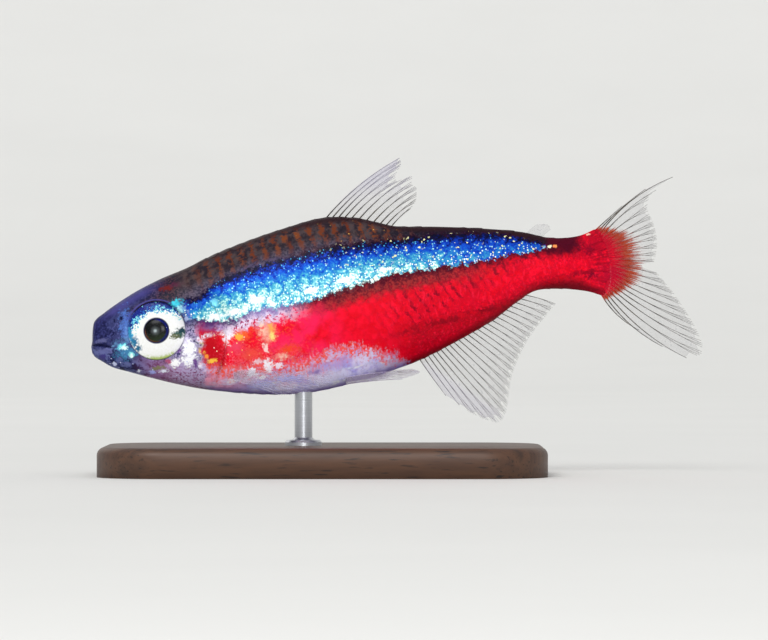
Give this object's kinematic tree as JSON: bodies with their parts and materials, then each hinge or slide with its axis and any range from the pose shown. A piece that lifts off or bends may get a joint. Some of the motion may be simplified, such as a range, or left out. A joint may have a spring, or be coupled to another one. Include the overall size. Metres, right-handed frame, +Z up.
{
  "type": "cardinal tetra model",
  "caption": "Life-size still model of a small, slender aquarium fish with a blue stripe over a red flank, spread dorsal, anal and forked tail fins, held head slightly down on a rod over a flat rounded base.",
  "frame": {"origin": "bottom centre of the whole model's box, on the surface that the stand rests on", "axes": "+X from the fish's head towards its tail, +Y to the fish's right, +Z up"},
  "size_m": [0.0413, 0.018, 0.0214],
  "materials": {
    "head_skin": "glossy wet skin, bluish lilac with silver",
    "gill_cover_skin": "glossy silvery lilac, partly see-through over red gills",
    "body_skin": "glossy scales: brown back, glittering blue stripe, red flank, silvery belly",
    "eye": "high gloss, silver iris with a black pupil",
    "fin": "thin clear membrane with dark rays",
    "stand_base": "dark satin wood",
    "stand_rod": "brushed"
  },
  "bodies": {
    "root": {"head": "head_skin", "lower_jaw": "head_skin", "gill_cover_left": "gill_cover_skin", "gill_cover_right": "gill_cover_skin", "eye_left": "eye", "eye_right": "eye", "trunk": "body_skin", "tail": "body_skin", "dorsal_fin": "fin", "adipose_fin": "fin", "anal_fin": "fin", "caudal_fin_upper": "fin", "caudal_fin_lower": "fin", "pectoral_fin_left": "fin", "pectoral_fin_right": "fin", "pelvic_fin_left": "fin", "pelvic_fin_right": "fin", "stand_base": "stand_base", "stand_rod": "stand_rod"}
  },
  "joints": []
}
